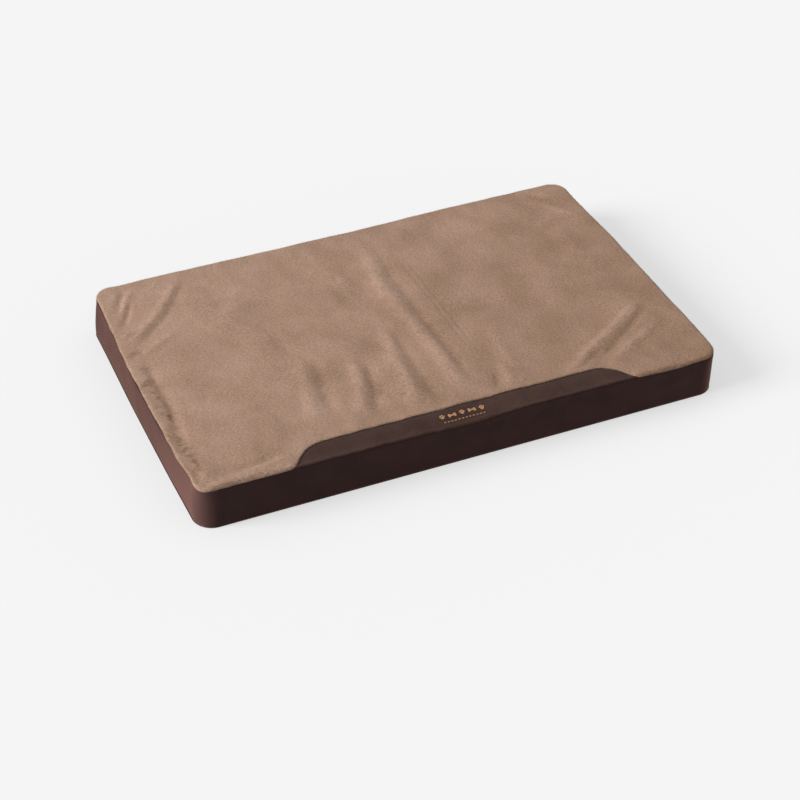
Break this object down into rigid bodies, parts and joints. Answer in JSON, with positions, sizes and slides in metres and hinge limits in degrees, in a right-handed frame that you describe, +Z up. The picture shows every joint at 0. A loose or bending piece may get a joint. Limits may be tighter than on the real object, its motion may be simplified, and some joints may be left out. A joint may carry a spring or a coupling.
{
  "type": "pet cushion bed",
  "caption": "Flat rectangular pet mattress: foam core in a zipped box cover with plush top, woven front insert, fabric side band and rear coil zip.",
  "frame": {"origin": "middle of the underside of the cushion, on the floor", "axes": "+X along the long side to the right, +Y towards the rear zip, +Z up; the woven insert is at the -Y side"},
  "size_m": [0.8, 0.5044, 0.07],
  "materials": {
    "foam": "open-cell foam",
    "liner": "thin non-woven",
    "plush": "short-pile plush",
    "insert_weave": "dense plain weave",
    "band_weave": "dense twill weave",
    "base_fabric": "coated weave with grip dots",
    "thread": "embroidery thread",
    "zip_tape": "woven tape",
    "zip_coil": "nylon monofilament",
    "label_satin": "satin ribbon",
    "slider_metal": "dark nickel plated"
  },
  "bodies": {
    "bed": {"foam_core": "foam", "liner_top": "liner", "liner_base": "liner", "top_panel": "plush", "front_insert": "insert_weave", "emblem": "thread", "side_band": "band_weave", "rear_band_upper": "band_weave", "rear_band_lower": "band_weave", "base_panel": "base_fabric", "zip_tape_upper": "zip_tape", "zip_tape_lower": "zip_tape", "zip_coil_upper": "zip_coil", "zip_coil_lower": "zip_coil", "zip_end_tab_left": "band_weave", "zip_end_tab_right": "band_weave", "care_label": "label_satin"},
    "slider": {"zip_slider": "slider_metal"},
    "puller": {"zip_puller": "slider_metal"}
  },
  "joints": [
    {"name": "zip_slide", "type": "slide", "parent": "bed", "child": "slider", "axis": [1, 0, 0], "range_m": [0, 0.646]},
    {"name": "puller_hinge", "type": "hinge", "parent": "slider", "child": "puller", "pos_m": [-0.323, 0.2525, 0.0326], "axis": [0, 0, 1], "range_deg": [0, 180]}
  ]
}
